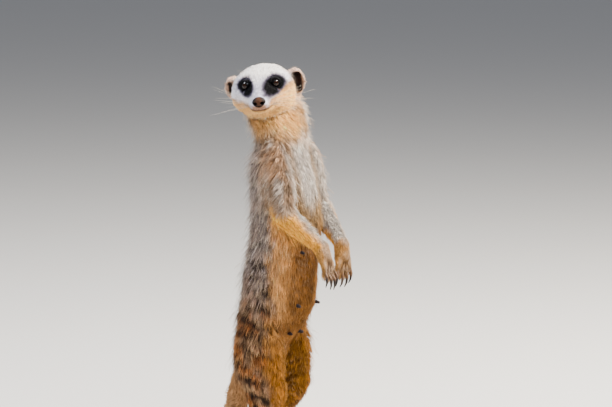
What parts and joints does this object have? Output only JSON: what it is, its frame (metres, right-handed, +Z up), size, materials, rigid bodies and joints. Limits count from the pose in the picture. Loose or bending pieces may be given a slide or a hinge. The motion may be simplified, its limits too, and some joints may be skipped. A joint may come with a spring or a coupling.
{
  "type": "meerkat",
  "caption": "Life-size still meerkat standing upright on its hind feet and tail, forepaws hanging, head turned over its right shoulder.",
  "frame": {"origin": "on the floor, under the middle of the bounding box", "axes": "+Z up, the chest faces -Y and the animal's left side is +X"},
  "size_m": [0.1058, 0.2108, 0.3254],
  "materials": {
    "coat": "grizzled fur",
    "bare_skin": "damp matt",
    "eye": "wet gloss",
    "claw": "satin horn"
  },
  "bodies": {
    "root": {"ear_left": "coat", "ear_right": "coat", "eye_left": "eye", "eye_right": "eye", "foot_left": "coat", "foot_right": "coat", "fore_claw_left_1": "claw", "fore_claw_left_2": "claw", "fore_claw_left_3": "claw", "fore_claw_left_4": "claw", "fore_claw_right_1": "claw", "fore_claw_right_2": "claw", "fore_claw_right_3": "claw", "fore_claw_right_4": "claw", "forearm_left": "coat", "forearm_right": "coat", "hand_left": "coat", "hand_right": "coat", "head": "coat", "hind_claw_left_1": "claw", "hind_claw_left_2": "claw", "hind_claw_left_3": "claw", "hind_claw_left_4": "claw", "hind_claw_right_1": "claw", "hind_claw_right_2": "claw", "hind_claw_right_3": "claw", "hind_claw_right_4": "claw", "neck": "coat", "nose": "bare_skin", "shank_left": "coat", "shank_right": "coat", "tail_1": "coat", "tail_2": "coat", "tail_3": "coat", "tail_4": "coat", "teat_left_1": "bare_skin", "teat_left_2": "bare_skin", "teat_left_3": "bare_skin", "teat_right_1": "bare_skin", "teat_right_2": "bare_skin", "teat_right_3": "bare_skin", "thigh_left": "coat", "thigh_right": "coat", "trunk": "coat", "upper_arm_left": "coat", "upper_arm_right": "coat"}
  },
  "joints": []
}
